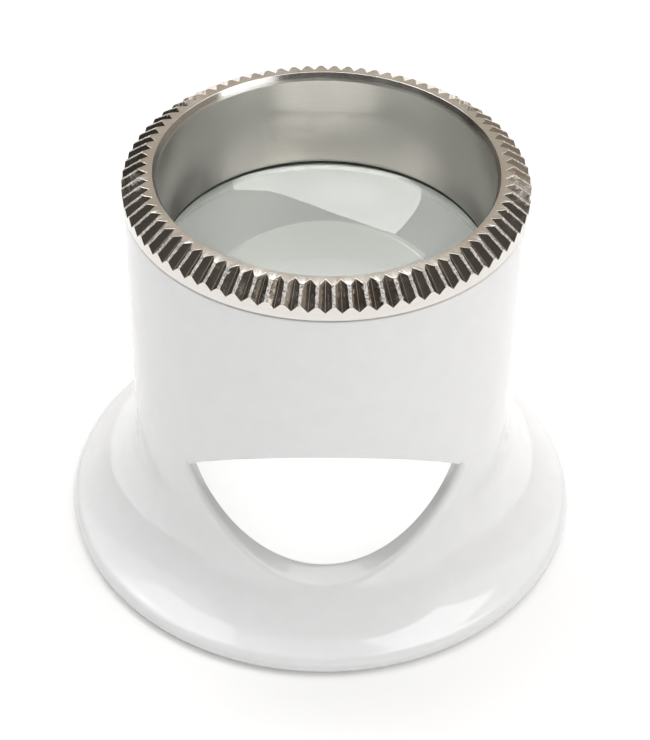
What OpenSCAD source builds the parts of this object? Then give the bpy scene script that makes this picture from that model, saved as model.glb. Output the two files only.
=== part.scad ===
// Eye loupe: a moulded eye cup with an air window, one stock lens on a ledge inside it,
// a thin washer on the glass and a knurled steel ring that screws down on the washer.
// Origin: centre of the eye end, on the face that the loupe stands on. +Z is the optical axis,
// out of the eye. The window faces -Y.

/* [Lens] */
// Diameter of the stock lens: the barrel, ring and washer follow it
lens_d = 25; // [20:0.5:30]
// Thickness of the lens at its rim
lens_edge_t = 2; // [1.2:0.1:3]
// Radius of both polished faces
lens_face_r = 38; // [32:1:80]
// Gap round the lens in its pocket
lens_gap = 0.08; // [0.04:0.02:0.12]
// Width of the ledge under the lens
seat_w = 1; // [0.7:0.1:1.5]
// Thickness of the ledge at its inner edge
seat_t = 1.5; // [1:0.1:2]

/* [Housing] */
// Height of the moulded housing
housing_h = 28.17; // [27:0.01:33]
// Wall of the barrel below the ledge
wall = 1.45; // [1.2:0.05:1.8]
// Wall left behind the roots of the thread
thread_wall = 0.78; // [0.6:0.02:1.2]
// Diameter of the flange at the eye end
flange_d = 38; // [36:0.5:44]
// Thickness of the flange's round edge
flange_edge_t = 1.5; // [1.2:0.1:2]
// Radius of the cove between barrel and flange
cove_r = 6.6; // [5.5:0.1:8]
// Radius of the round mouth at the eye end
mouth_r = 5; // [3.5:0.1:5.5]

/* [Window] */
// Height of the sill
window_sill_z = 4.57; // [4.4:0.01:6]
// Height of the crown
window_crown_z = 16.3; // [14.5:0.05:16.8]
// Radius of the lower edge
window_sill_r = 9.7; // [8:0.1:10]
// Radius of the upper edge
window_crown_r = 12.7; // [10:0.1:14]

/* [Washer] */
// Thickness of the washer
washer_t = 0.2; // [0.1:0.05:0.5]
// How far the washer stays back from the ring's bore and the lens's rim
washer_inset = 0.05; // [0.02:0.01:0.1]

/* [Ring] */
// How far the ring laps over the lens
lens_lap = 1; // [0.7:0.1:1.5]
// Length of the sleeve below the head
sleeve_len = 5.6; // [5.4:0.1:7]
// Height of the head
head_h = 2.05; // [1.8:0.05:3]
// How far the head stands out past the barrel
rim_proud = 0.05; // [0:0.01:0.1]
// Seam between the head and the housing
seam = 0.06; // [0.02:0.01:0.1]
// Width of the bevel that carries the knurl
bevel_w = 1.25; // [1:0.05:1.4]
// Height of the bevel
bevel_h = 0.88; // [0.7:0.02:1.1]
// Width of the chamfer at the mouth of the bore
bore_chamfer_w = 0.3; // [0.1:0.05:0.4]
// Height of that chamfer
bore_chamfer_h = 0.54; // [0.2:0.02:0.8]

/* [Knurl] */
// Number of grooves
groove_count = 80; // [60:1:90]
// Angle of the vee that cuts them
groove_angle = 100; // [80:5:110]
// Depth of a groove's root below the bevel's lower edge, down the rim
groove_drop = 0.48; // [0.3:0.02:0.6]
// Depth of a groove's root inside the bevel's upper edge, across the top
groove_reach = 0.52; // [0.3:0.02:0.6]
// Angle at which the tightened ring comes to rest
ring_rest_angle = -1.05; // [-2.25:0.05:2.25]

/* [Thread] */
// Pitch of the thread
thread_pitch = 0.75; // [0.5:0.05:0.9]
// Number of threads in mesh
thread_turns = 6; // [4:1:6]
// Depth of each thread
thread_depth = 0.28; // [0.2:0.02:0.35]
// Gap between the ring's crests and the housing's
thread_gap = 0.06; // [0.02:0.01:0.1]
// Step from the lens pocket out to the cylinder where the threads meet
thread_step = 0.18; // [0.1:0.02:0.3]

/* [Hidden] */
$fn = 96;

// Gap left where a piece bears on the next one
touch = 0.01;
// Small chamfer on the edges of the housing's and the ring's ends
edge_break = 0.12;
// Extra length that takes a cut clear of the faces it leaves by
over = 1;

// Radii, from the lens outwards
lens_r = lens_d / 2;
pocket_r = lens_r + lens_gap;
thread_r = pocket_r + thread_step;
ring_crest_r = thread_r - thread_gap / 2;
ring_root_r = ring_crest_r - thread_depth;
housing_crest_r = thread_r + thread_gap / 2;
housing_root_r = housing_crest_r + thread_depth;
barrel_r = housing_root_r + thread_wall;
cavity_r = barrel_r - wall;
rim_r = barrel_r + rim_proud;
bevel_top_r = rim_r - bevel_w;
ring_bore_r = lens_r - lens_lap;
seat_r = lens_r - seat_w;
washer_in_r = ring_bore_r + washer_inset;
washer_out_r = lens_r - washer_inset;

// Heights, from the ring's head down to the ledge
head_z = housing_h + seam;
top_z = head_z + head_h;
bevel_z = top_z - bevel_h;
sleeve_z = head_z - sleeve_len;
washer_z = sleeve_z - touch - washer_t;
lens_top_z = washer_z - touch + sag(washer_in_r);
lens_rim_z = lens_top_z - sag(lens_r);
lens_bottom_z = lens_rim_z - lens_edge_t - sag(lens_r);
seat_in_z = lens_bottom_z + sag(seat_r) - touch;
seat_out_z = lens_bottom_z + sag(lens_r) - touch;
seat_under_z = seat_in_z - seat_t;
thread_len = thread_turns * thread_pitch;
pocket_z = sleeve_z + (sleeve_len - thread_len) / 2;

// Centres of the arcs in the housing's profile
edge_r = flange_edge_t / 2;
edge_x = flange_d / 2 - edge_r;
cove_x = barrel_r + cove_r;
cove_z = edge_r + sqrt(pow(cove_r + edge_r, 2) - pow(cove_x - edge_x, 2));
meet_x = edge_x + (cove_x - edge_x) * edge_r / (cove_r + edge_r);
meet_z = edge_r + (cove_z - edge_r) * edge_r / (cove_r + edge_r);

// Drop of a polished face from its middle to radius r
function sag(r) = lens_face_r - sqrt(lens_face_r * lens_face_r - r * r);

// Points of a thread's profile, upwards from height z, between radii root and crest
function thread_points(root, crest, z) = [
    for (turn = [0 : thread_turns - 1])
        for (corner = [[root, 0.05], [crest, 0.4], [crest, 0.6], [root, 0.95]])
            [corner[0], z + (turn + corner[1]) * thread_pitch]
];

// Outer profile of the housing, filled in to the axis
module housing_outline() {
    difference() {
        union() {
            polygon([
                [0, 0],
                [edge_x, 0],
                [edge_x, edge_r],
                [meet_x, meet_z],
                [meet_x, cove_z],
                [0, cove_z]
            ]);
            translate([edge_x, edge_r])
                circle(edge_r);
        }
        translate([cove_x, cove_z])
            circle(cove_r);
    }
    polygon([
        [0, cove_z],
        [barrel_r, cove_z],
        [barrel_r, housing_h - edge_break],
        [barrel_r - edge_break, housing_h],
        [0, housing_h]
    ]);
}

// Everything that is hollow inside the housing: mouth, cavity, lens pocket and threaded top
module housing_hollow() {
    difference() {
        translate([0, -over])
            square([cavity_r + mouth_r, mouth_r + over]);
        translate([cavity_r + mouth_r, mouth_r])
            circle(mouth_r);
    }
    polygon(concat(
        [
            [0, mouth_r],
            [cavity_r, mouth_r],
            [cavity_r, seat_under_z - (cavity_r - seat_r)],
            [seat_r, seat_under_z],
            [seat_r, seat_in_z],
            [lens_r, seat_out_z],
            [pocket_r, seat_out_z],
            [pocket_r, pocket_z],
            [housing_crest_r, pocket_z]
        ],
        thread_points(housing_crest_r, housing_root_r, pocket_z),
        [
            [housing_crest_r, pocket_z + thread_len],
            [housing_crest_r, housing_h - edge_break],
            [housing_crest_r + edge_break, housing_h],
            [housing_crest_r + edge_break, housing_h + over],
            [0, housing_h + over]
        ]
    ));
}

// Shape of the window seen from the front: the overlap of two circles
module window_outline() {
    intersection() {
        translate([0, window_sill_z + window_sill_r])
            circle(window_sill_r);
        translate([0, window_crown_z - window_crown_r])
            circle(window_crown_r);
    }
}

module housing() {
    color("white")
        difference() {
            rotate_extrude()
                difference() {
                    housing_outline();
                    housing_hollow();
                }
            // A straight cut from the axis to the front makes the window
            rotate([90, 0, 0])
                linear_extrude(flange_d)
                    window_outline();
        }
}

module lens() {
    color([0.75, 0.82, 0.78, 0.5])
        intersection() {
            translate([0, 0, lens_top_z - lens_face_r])
                sphere(lens_face_r);
            translate([0, 0, lens_bottom_z + lens_face_r])
                sphere(lens_face_r);
            translate([0, 0, lens_bottom_z])
                cylinder(lens_top_z - lens_bottom_z, r = lens_r);
        }
}

module washer() {
    color("darkslategray")
        translate([0, 0, washer_z])
            difference() {
                cylinder(washer_t, r = washer_out_r);
                translate([0, 0, -over])
                    cylinder(washer_t + 2 * over, r = washer_in_r);
            }
}

// Half of the ring's section: bore, sleeve with its thread, and bevelled head
module ring_outline() {
    polygon(concat(
        [
            [ring_bore_r, sleeve_z],
            [ring_root_r - edge_break, sleeve_z],
            [ring_root_r, sleeve_z + edge_break]
        ],
        thread_points(ring_root_r, ring_crest_r, pocket_z),
        [
            [ring_root_r, head_z],
            [rim_r - edge_break, head_z],
            [rim_r, head_z + edge_break],
            [rim_r, bevel_z],
            [bevel_top_r, top_z],
            [ring_bore_r + bore_chamfer_w, top_z],
            [ring_bore_r, top_z - bore_chamfer_h]
        ]
    ));
}

// One knurl groove: a vee whose root runs from the rim up to the top face
module knurl_groove() {
    root_low = [rim_r, bevel_z - groove_drop];
    root_high = [bevel_top_r - groove_reach, top_z];
    run = root_high - root_low;
    slope = atan2(run[1], -run[0]);
    length = norm(run) + 2 * over;
    vee_h = 2 * groove_drop;
    vee_w = vee_h * tan(groove_angle / 2);
    translate([root_low[0], 0, root_low[1]])
        rotate([0, slope, 0])
            translate([over, 0, 0])
                rotate([90, 0, -90])
                    linear_extrude(length)
                        polygon([[0, 0], [vee_w, vee_h], [-vee_w, vee_h]]);
}

module retaining_ring() {
    color("silver")
        difference() {
            rotate_extrude()
                ring_outline();
            for (i = [0 : groove_count - 1])
                rotate([0, 0, ring_rest_angle - 90 + i * 360 / groove_count])
                    knurl_groove();
        }
}

housing();
lens();
washer();
retaining_ring();
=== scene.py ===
# %% [markdown]
# # A watchmaker's eye loupe
# Four pieces make the loupe: a moulded eye cup, one lens, a thin washer and a knurled steel ring.
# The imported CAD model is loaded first. It fixes every place and size, so no piece is placed by eye.
# The loupe's lengths are written in millimetres, as on a drawing, and the factor MM turns them to metres.

import math

import bmesh
import bpy
import numpy as np
from mathutils import Matrix, Vector


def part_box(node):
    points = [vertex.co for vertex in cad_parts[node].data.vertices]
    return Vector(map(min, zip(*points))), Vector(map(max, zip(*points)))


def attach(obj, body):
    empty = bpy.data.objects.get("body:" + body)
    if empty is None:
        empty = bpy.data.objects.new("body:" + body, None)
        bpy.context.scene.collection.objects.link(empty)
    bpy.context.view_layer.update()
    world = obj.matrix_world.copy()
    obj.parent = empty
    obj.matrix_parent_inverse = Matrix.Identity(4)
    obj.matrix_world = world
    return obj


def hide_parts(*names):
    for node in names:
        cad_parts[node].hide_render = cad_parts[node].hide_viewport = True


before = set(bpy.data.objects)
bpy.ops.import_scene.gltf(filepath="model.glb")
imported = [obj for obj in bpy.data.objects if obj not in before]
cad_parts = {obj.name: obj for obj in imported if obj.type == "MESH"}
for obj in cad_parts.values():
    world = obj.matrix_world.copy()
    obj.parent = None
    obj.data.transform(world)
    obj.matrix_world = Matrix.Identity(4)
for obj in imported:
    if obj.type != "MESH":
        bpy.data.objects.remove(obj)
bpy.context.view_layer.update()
MM = 0.001

# %% [markdown]
# The sizes are the drawing's own. Those that a node's box shows are read from the box, so that a change
# in the CAD carries over, and the rest are the values of the part's source.

# %% Sizes of the eye cup, the lens and the ring
cup_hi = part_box("housing")[1]
ring_lo, ring_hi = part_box("retaining_ring")
lens_lo, lens_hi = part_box("lens")

HOUSING_TOP = cup_hi[2] / MM
FLANGE_R = cup_hi[0] / MM
LENS_R = lens_hi[0] / MM
LENS_TOP = lens_hi[2] / MM
LENS_BOTTOM = lens_lo[2] / MM
RIM_R = ring_hi[0] / MM
RING_TOP = ring_hi[2] / MM
SLEEVE_Z = ring_lo[2] / MM

# Barrel outside and inside, cove above the flange, round mouth, and the flange's round edge
BARREL_R = 13.85
CAVITY_R = 12.40
COVE_R = 6.6
MOUTH_R = 5.0
EDGE_R = 0.75
# Polished faces of the lens, its pocket, and the ledge under it
LENS_FACE_R = 38.0
POCKET_R = 12.58
SEAT_R = 11.5
# Foot of the thread, its pitch and its turns
THREAD_Z = 23.18
PITCH = 0.75
TURNS = 6
print("flange", round(2 * FLANGE_R, 2), "lens", round(2 * LENS_R, 2), "ring", round(2 * RIM_R, 2))

# %% [markdown]
# Every piece is a mesh whose object sits at the origin, with the piece's place in its points. Doubled
# points are welded before the faces are turned outwards, because a skin with gaps has no outside.

# %% Helpers that make a mesh
# Points closer than this are one point
WELD = 0.0005


def weld(mesh, outwards=True):
    """Merges doubled points and, where asked, turns the faces outwards."""
    shell = bmesh.new()
    shell.from_mesh(mesh)
    bmesh.ops.remove_doubles(shell, verts=shell.verts, dist=WELD * MM)
    if outwards:
        bmesh.ops.recalc_face_normals(shell, faces=shell.faces)
    shell.to_mesh(mesh)
    shell.free()


def new_object(name, data):
    """An object at the origin that carries the data, linked to the scene."""
    thing = bpy.data.objects.new(name, data)
    bpy.context.scene.collection.objects.link(thing)
    return thing


def new_piece(name, points, faces, outwards=True):
    """A smooth-shaded object at the origin from points in millimetres."""
    mesh = bpy.data.meshes.new(name)
    mesh.from_pydata([[c * MM for c in p] for p in points], [], faces)
    weld(mesh, outwards)
    mesh.shade_smooth()
    return new_object(name, mesh)


def sharpen(piece, degrees):
    """Edges that turn by more than this stay crisp in the smooth shading."""
    piece.data.set_sharp_from_angle(angle=math.radians(degrees))


def arc(centre, radius, start, end, steps):
    """Points on an arc, its two ends included."""
    angles = [math.radians(start + (end - start) * i / steps) for i in range(steps + 1)]
    return [(centre[0] + radius * math.cos(t), centre[1] + radius * math.sin(t)) for t in angles]


def turned(r, turn, z):
    """The point at radius r and height z, that far round from the front."""
    return (r * math.sin(turn), -r * math.cos(turn), z)


def lay_rows(points, faces, rows, closed):
    """Adds rows of points, and the faces between them, to the two lists."""
    first = len(points)
    count = len(rows[0])
    for row in rows:
        points.extend(row)
    for r in range(len(rows) - 1):
        for c in range(count if closed else count - 1):
            d = (c + 1) % count
            a, b = first + r * count, first + (r + 1) * count
            faces.append((a + c, a + d, b + d, b + c))


print("points within", WELD, "mm of each other are welded")

# %% [markdown]
# ## The eye cup
# On the real object this is one injection moulding in glossy white plastic: a barrel, a flared flange
# that fits the eye socket, and an air window that keeps the lens from misting. A boolean cut would leave
# long thin faces round the window and no clean edge to round off. So the skin is laid out as a grid that
# follows the turned profile and, near the window, flows from its rim to a square frame. Every point
# sits on the true surface, and the rim gets a real fillet like the one on the moulding.

# %% Profile of the eye cup
FLANGE_EDGE_X = FLANGE_R - EDGE_R
COVE_X = BARREL_R + COVE_R
COVE_Z = EDGE_R + math.sqrt((COVE_R + EDGE_R) ** 2 - (COVE_X - FLANGE_EDGE_X) ** 2)
BLEND = math.degrees(math.atan2(COVE_Z - EDGE_R, COVE_X - FLANGE_EDGE_X))


def outer_r(z):
    """Radius of the outside at height z, on the cove and the barrel."""
    if z >= COVE_Z:
        return BARREL_R
    return COVE_X - math.sqrt(COVE_R**2 - (COVE_Z - z) ** 2)


def inner_r(z):
    """Radius of the inside at height z, on the mouth and the cavity."""
    if z >= MOUTH_R:
        return CAVITY_R
    return CAVITY_R + MOUTH_R - math.sqrt(MOUTH_R**2 - (MOUTH_R - z) ** 2)


def outer_normal(x, y, z):
    r = math.hypot(x, y)
    if z >= COVE_Z:
        return np.array([x / r, y / r, 0.0])
    slope = (COVE_X - r) / COVE_R
    return np.array([x / r * slope, y / r * slope, (COVE_Z - z) / COVE_R])


def inner_normal(x, y, z):
    r = math.hypot(x, y)
    return np.array([-x / r, -y / r, 0.0])


print("the cove starts at", round(COVE_Z, 2), "mm and meets the flange's edge at",
      round(BLEND, 1), "degrees")

# %% [markdown]
# The window is the overlap of two circles seen from the front, with the two tips where they meet slightly
# rounded, as a mould is. The outline is walked once, from the left tip over the crown to the right tip
# and back along the sill.

# %% Outline of the window
SILL_Z, SILL_R = 4.57, 9.7
CROWN_Z, CROWN_R = 16.3, 12.7
TIP_R = 0.9
CROWN_STEPS, SILL_STEPS, TIP_STEPS = 88, 104, 8


def window_walk():
    """(x, z, outward x, outward z) at each point round the window."""
    sill = (0.0, SILL_Z + SILL_R)
    crown = (0.0, CROWN_Z - CROWN_R)
    gap = sill[1] - crown[1]
    rise = (gap**2 + (CROWN_R - TIP_R) ** 2 - (SILL_R - TIP_R) ** 2) / (2 * gap)
    tip = (math.sqrt((CROWN_R - TIP_R) ** 2 - rise**2), crown[1] + rise)
    low = math.degrees(math.atan2(tip[1] - sill[1], tip[0]))
    high = math.degrees(math.atan2(tip[1] - crown[1], tip[0]))
    mid = (low + high) / 2
    left = (-tip[0], tip[1])
    walk = []
    for centre, radius, start, end, steps in (
        (left, TIP_R, 180 - mid, 180 - high, TIP_STEPS),
        (crown, CROWN_R, 180 - high, high, CROWN_STEPS),
        (tip, TIP_R, high, mid, TIP_STEPS),
        (tip, TIP_R, mid, low, TIP_STEPS),
        (sill, SILL_R, low, -180 - low, SILL_STEPS),
        (left, TIP_R, 180 - low, 180 - mid, TIP_STEPS),
    ):
        for i in range(steps):
            t = math.radians(start + (end - start) * i / steps)
            out_x, out_z = math.cos(t), math.sin(t)
            walk.append((centre[0] + radius * out_x, centre[1] + radius * out_z, out_x, out_z))
    return walk


WINDOW = window_walk()
print(len(WINDOW), "points round the window,", round(2 * max(p[0] for p in WINDOW), 2), "mm wide")

# %% [markdown]
# The fillet on the rim is nearly nothing at the crown and about half a millimetre along the sill, which
# the light catches as a thin bright lip. Each cross-section is a conic arc: it leaves the skin tangent
# to it and arrives tangent to the hole's wall, whatever angle the two make at that point.

# %% Fillet round the window
CROWN_FILLET, SILL_FILLET, INNER_FILLET = 0.10, 0.42, 0.14


def smooth(a, b, x):
    """0 below a, 1 above b, with a soft change between them."""
    t = min(max((x - a) / (b - a), 0.0), 1.0)
    return t * t * (3 - 2 * t)


def rim_section(point, radius_at, normal_at, fillet, inwards, steps):
    """Points from the skin over the rim to the hole's wall, at one point of the walk."""
    x, z, out_x, out_z = point
    corner = np.array([x, -math.sqrt(radius_at(z) ** 2 - x * x), z])
    skin = normal_at(*corner)
    wall = np.array([-out_x, 0.0, -out_z])
    turn = math.acos(max(-1.0, min(1.0, float(skin @ wall))))
    reach = fillet * math.tan(turn / 2)
    away = -wall + (wall @ skin) * skin
    start = corner + reach * away / np.linalg.norm(away)
    azimuth = math.atan2(start[0], -start[1])
    start = np.array(turned(radius_at(start[2]), azimuth, start[2]))
    edge = np.cross(skin, wall)
    edge /= np.linalg.norm(edge)
    end = corner + np.array([0.0, inwards * reach / math.sqrt(1 - edge[1] ** 2), 0.0])
    weight = math.cos(turn / 2)
    section = []
    for i in range(steps + 1):
        t = i / steps
        a, b, c = (1 - t) ** 2, 2 * t * (1 - t) * weight, t * t
        section.append((a * start + b * corner + c * end) / (a + b + c))
    return section


print("the fillet is", CROWN_FILLET, "mm at the crown and", SILL_FILLET, "mm along the sill")

# %% [markdown]
# Round the window a patch of the grid runs from the fillet out to a frame of straight rows and columns.
# Beyond the frame the rows and columns go on round the barrel. The same is done on the inner skin, and
# the wall of the hole joins the two.

# %% Rows and columns round the window
COLUMNS = 240
FRAME_COLUMNS = 40
FRAME_LOW, FRAME_MID = 2.9, 12.0
OUTER_HIGH, INNER_HIGH = 20.0, 17.0
LOW_ROWS, HIGH_ROWS, PATCH_ROWS, WALL_ROWS = 20, 12, 10, 4
# Below 1, the patch's rows crowd towards the window
CROWDING = 0.8


def row_heights(high):
    low = [FRAME_LOW + (FRAME_MID - FRAME_LOW) * i / LOW_ROWS for i in range(LOW_ROWS)]
    return low + [FRAME_MID + (high - FRAME_MID) * i / HIGH_ROWS for i in range(HIGH_ROWS + 1)]


def frame_walk(high):
    """(column, height) round the frame, in step with the window's walk."""
    rows = row_heights(high)
    side = FRAME_COLUMNS
    walk = [(-side, z) for z in rows[LOW_ROWS:]]
    walk += [(c, high) for c in range(-side + 1, side + 1)]
    walk += [(side, z) for z in reversed(rows[:-1])]
    walk += [(c, FRAME_LOW) for c in range(side - 1, -side - 1, -1)]
    return walk + [(-side, z) for z in rows[1:LOW_ROWS]]


def on_skin(azimuth, z, radius_at):
    return turned(radius_at(z), azimuth, z)


def skin_patch(sections, radius_at, high):
    """Rings of points from the frame to the fillet, lying on the skin."""
    rings = []
    border = frame_walk(high)
    for k in range(PATCH_ROWS):
        share = (k / PATCH_ROWS) ** CROWDING
        ring = []
        for (column, z), section in zip(border, sections):
            azimuth = math.radians(column * 360 / COLUMNS)
            goal = math.atan2(section[0][0], -section[0][1])
            height = z + (section[0][2] - z) * share
            ring.append(on_skin(azimuth + (goal - azimuth) * share, height, radius_at))
        rings.append(ring)
    return rings


print("the frame is", 2 * FRAME_COLUMNS, "columns wide, of", COLUMNS, "round the barrel")

# %% The skin round the window
RIM_STEPS, INNER_STEPS = 6, 3
# The fillet thins where the outline's outward direction turns up. 1 is straight up
THIN_FROM, THIN_TO = -0.15, 0.55
outer_sections, inner_sections = [], []
for point in WINDOW:
    fillet = SILL_FILLET + (CROWN_FILLET - SILL_FILLET) * smooth(THIN_FROM, THIN_TO, point[3])
    outer_sections.append(rim_section(point, outer_r, outer_normal, fillet, 1, RIM_STEPS))
    inner_sections.append(rim_section(point, inner_r, inner_normal, INNER_FILLET, -1, INNER_STEPS))

window_rings = skin_patch(outer_sections, outer_r, OUTER_HIGH)
window_rings += [[tuple(s[k]) for s in outer_sections] for k in range(RIM_STEPS + 1)]
for k in range(1, WALL_ROWS):
    window_rings.append(
        [tuple(a[-1] + (b[-1] - a[-1]) * k / WALL_ROWS) for a, b in zip(outer_sections, inner_sections)]
    )
window_rings += [[tuple(s[k]) for s in inner_sections] for k in range(INNER_STEPS, -1, -1)]
window_rings += list(reversed(skin_patch(inner_sections, inner_r, INNER_HIGH)))
print(len(window_rings), "rings of", len(window_rings[0]), "points make the window")

# %% [markdown]
# The rest of the moulding is turned: the flange with its round edge and mouth below the window, and the
# threaded top, lens pocket and ledge above it. Its corners get small radii, because a mould has no
# perfectly sharp ones and only a rounded edge shows a highlight.

# %% Turned parts of the eye cup
LEDGE_IN, LEDGE_OUT, LEDGE_UNDER = 19.750, 20.083, 18.250
ROOT_R = 13.07
# A moulded corner's radius, and how far the threaded end opens towards its top
EASE, LEAD_IN = 0.12, 0.02


def eased(points, radius, steps=3):
    """The same path with its inner corners rounded."""
    path = [points[0]]
    for before, corner, after in zip(points, points[1:], points[2:]):
        corner = np.array(corner)
        a, b = np.array(before) - corner, np.array(after) - corner
        cut = min(radius, np.linalg.norm(a) * 0.45, np.linalg.norm(b) * 0.45)
        a, b = corner + a / np.linalg.norm(a) * cut, corner + b / np.linalg.norm(b) * cut
        for i in range(steps + 1):
            t = i / steps
            path.append(tuple((1 - t) ** 2 * a + 2 * t * (1 - t) * corner + t * t * b))
    return path + [points[-1]]


above = [(BARREL_R, z) for z in (OUTER_HIGH, 22.0, 24.0, 26.0)]
above += eased(
    [
        (BARREL_R, 27.5),
        (BARREL_R, HOUSING_TOP),
        (ROOT_R + LEAD_IN, HOUSING_TOP),
        (ROOT_R, HOUSING_TOP - EASE),
        (ROOT_R, THREAD_Z),
        (POCKET_R, THREAD_Z),
        (POCKET_R, LEDGE_OUT),
        (LENS_R, LEDGE_OUT),
        (SEAT_R, LEDGE_IN),
        (SEAT_R, LEDGE_UNDER),
        (CAVITY_R, LEDGE_UNDER - (CAVITY_R - SEAT_R)),
        (CAVITY_R, INNER_HIGH),
    ],
    EASE,
)

lowest = math.degrees(math.asin((COVE_Z - FRAME_LOW) / COVE_R))
below = arc((COVE_X, COVE_Z), COVE_R, 180 + lowest, 180 + BLEND, 18)
below += arc((FLANGE_EDGE_X, EDGE_R), EDGE_R, BLEND, -90, 22)[1:]
# Two rows on the flat that stands on the table
below += [(r, 0.0) for r in (18.0, 17.7)]
highest = math.degrees(math.asin((MOUTH_R - FRAME_LOW) / MOUTH_R))
below += arc((CAVITY_R + MOUTH_R, MOUTH_R), MOUTH_R, 270, 180 + highest, 16)
print(len(above), "points above the window and", len(below), "below")

# %% [markdown]
# Four grids make the skin: the rings round the window, the columns beside it, and whole rings above and
# below. They share their edges point on point, so welding the doubles closes the skin. The count of
# open edges shows whether it did.

# %% Weld the eye cup together
cup_points, cup_faces = [], []
lay_rows(cup_points, cup_faces, window_rings, True)
beside = [math.radians(c * 360 / COLUMNS) for c in range(FRAME_COLUMNS, COLUMNS - FRAME_COLUMNS + 1)]
for radius_at, high in ((outer_r, OUTER_HIGH), (inner_r, INNER_HIGH)):
    skin = [[on_skin(a, z, radius_at) for a in beside] for z in row_heights(high)]
    lay_rows(cup_points, cup_faces, skin, False)
round_the_axis = [math.radians(c * 360 / COLUMNS) for c in range(COLUMNS)]
for path in (above, below):
    skin = [[turned(r, a, z) for a in round_the_axis] for r, z in path]
    lay_rows(cup_points, cup_faces, skin, True)
cup = new_piece("Eye_cup", cup_points, cup_faces)
sharpen(cup, 38)
check = bmesh.new()
check.from_mesh(cup.data)
open_edges = sum(not e.is_manifold for e in check.edges)
print("eye cup:", len(check.faces), "faces,", open_edges, "open edges,",
      round(check.calc_volume() / MM**3), "mm3")
check.free()

# %% [markdown]
# ## The threads
# The ring screws into the barrel with a fine 0.75 mm thread. A thread is one ridge that climbs a helix,
# so it is a section swept along a spiral curve. Geometry Nodes do this with the sizes as named inputs,
# and the same tree makes the ridge outside the ring's sleeve and the one inside the barrel.
# Near both ends the ridge shrinks into the wall, as a moulded or cut thread runs out.

# %% Inputs of the thread's node tree
def add(tree, kind, inputs=(), **settings):
    """A node of that kind. An input takes a value, or a link from a socket or a node's first output."""
    node = tree.nodes.new(kind)
    for name, value in settings.items():
        setattr(node, name, value)
    for name, value in dict(inputs).items():
        if isinstance(value, bpy.types.Node):
            value = value.outputs[0]
        if isinstance(value, bpy.types.NodeSocket):
            tree.links.new(value, node.inputs[name])
        else:
            node.inputs[name].default_value = value
    return node


def group_input(tree, name, kind, value=None):
    """A named input of a node tree, with its default value where one is given."""
    socket = tree.interface.new_socket(name, in_out="INPUT", socket_type=kind)
    if value is not None:
        socket.default_value = value


tree = thread_tree = bpy.data.node_groups.new("Thread ridge", "GeometryNodeTree")
group_input(tree, "Geometry", "NodeSocketGeometry")
for socket_name in ("Root radius", "Depth", "Facing", "Pitch", "Turns", "Start height"):
    group_input(tree, socket_name, "NodeSocketFloat")
group_input(tree, "Finish", "NodeSocketMaterial")
tree.interface.new_socket("Geometry", in_out="OUTPUT", socket_type="NodeSocketGeometry")
print("inputs:", [s.name for s in tree.interface.items_tree if s.in_out == "INPUT"])

# %% The sweep along the helix
STEPS_A_TURN = 96
# Widths of the ridge at its foot and its crest, in pitches
FOOT, CREST = 0.9, 0.2
# The share of its length over which the ridge runs out at each end, and what is left of it there
RUN_OUT, THINNEST = 0.025, 0.04

given = add(tree, "NodeGroupInput").outputs
climb = add(tree, "ShaderNodeMath", {0: given["Pitch"], 1: given["Turns"]}, operation="MULTIPLY")
helix = add(tree, "GeometryNodeCurveSpiral", {
    "Resolution": STEPS_A_TURN, "Rotations": given["Turns"], "Start Radius": given["Root radius"],
    "End Radius": given["Root radius"], "Height": climb, "Reverse": False})
lift = add(tree, "ShaderNodeCombineXYZ", {"Z": given["Start height"]})
raised = add(tree, "GeometryNodeSetPosition", {"Geometry": helix, "Offset": lift})
upright = add(tree, "GeometryNodeSetCurveNormal", {"Curve": raised}, mode="Z_UP")
along = add(tree, "GeometryNodeSplineParameter")
to_middle = add(tree, "ShaderNodeMath", {0: along.outputs["Factor"], 1: 0.5}, operation="SUBTRACT")
from_middle = add(tree, "ShaderNodeMath", {0: to_middle}, operation="ABSOLUTE")
run_out = add(tree, "ShaderNodeMapRange", {
    "Value": from_middle, "From Min": 0.5, "From Max": 0.5 - RUN_OUT, "To Min": THINNEST,
    "To Max": 1.0})
foot = add(tree, "ShaderNodeMath", {0: given["Pitch"], 1: FOOT}, operation="MULTIPLY")
crest = add(tree, "ShaderNodeMath", {0: given["Pitch"], 1: CREST}, operation="MULTIPLY")
section = add(tree, "GeometryNodeCurvePrimitiveQuadrilateral", {
    "Bottom Width": foot, "Top Width": crest, "Height": given["Depth"],
    "Offset": 0.0}, mode="TRAPEZOID")
stand = add(tree, "ShaderNodeMath", {0: given["Depth"], 1: 0.5}, operation="MULTIPLY")
stand_off = add(tree, "ShaderNodeCombineXYZ", {"Y": stand})
section_out = add(tree, "GeometryNodeSetPosition", {"Geometry": section, "Offset": stand_off})
quarter = add(tree, "ShaderNodeMath", {0: given["Facing"], 1: math.radians(90)}, operation="MULTIPLY")
quarter_turn = add(tree, "ShaderNodeCombineXYZ", {"Z": quarter})
section_turned = add(tree, "GeometryNodeTransform", {"Geometry": section_out, "Rotation": quarter_turn})
swept = add(tree, "GeometryNodeCurveToMesh", {
    "Curve": upright, "Profile Curve": section_turned, "Scale": run_out, "Fill Caps": True})
realized = add(tree, "GeometryNodeRealizeInstances", {"Geometry": swept})
finished = add(tree, "GeometryNodeSetMaterial", {"Geometry": realized, "Material": given["Finish"]})
add(tree, "NodeGroupOutput", {0: finished})
print("thread tree:", len(tree.nodes), "nodes")

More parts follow.
